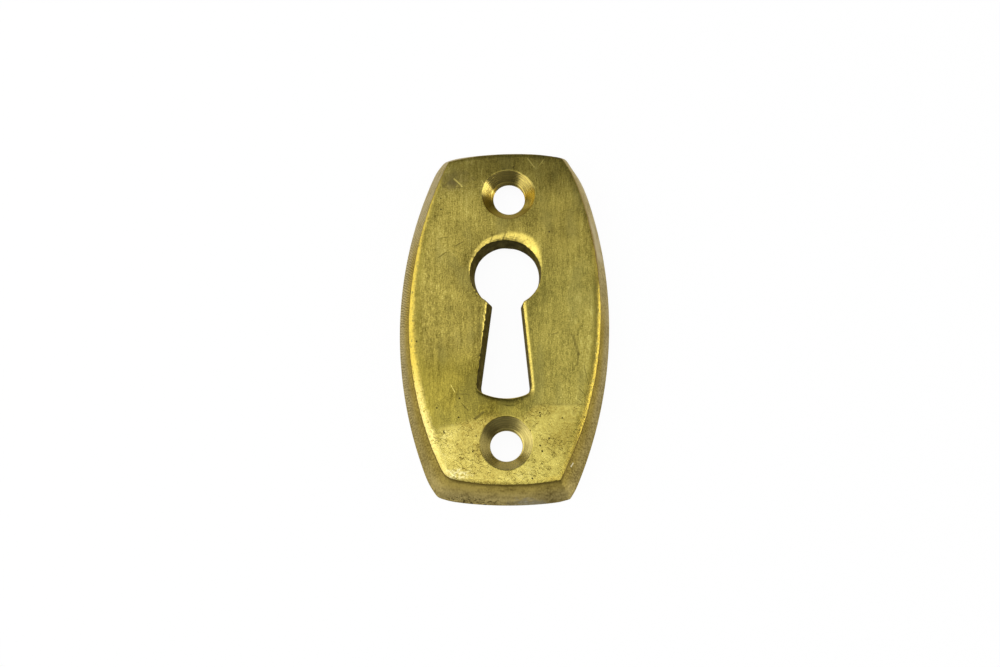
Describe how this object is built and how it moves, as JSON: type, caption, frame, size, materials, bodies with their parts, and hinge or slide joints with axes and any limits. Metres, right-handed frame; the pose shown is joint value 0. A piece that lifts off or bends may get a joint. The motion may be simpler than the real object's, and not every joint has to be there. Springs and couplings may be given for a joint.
{
  "type": "keyhole escutcheon",
  "caption": "Cast brass keyhole escutcheon with a barrel outline, bevelled rim, hollow back and countersunk screw holes at its ends.",
  "frame": {"origin": "middle of the plate in the plane of its back rim, which lies against the wood", "axes": "+Z out of the front face, +Y along the plate towards the round end of the keyhole, +X to the right seen from the front"},
  "size_m": [0.026, 0.0463, 0.0036],
  "materials": {
    "patinated_brass": "brushed cast brass with an olive patina"
  },
  "bodies": {
    "root": {"escutcheon_plate": "patinated_brass"}
  },
  "joints": []
}
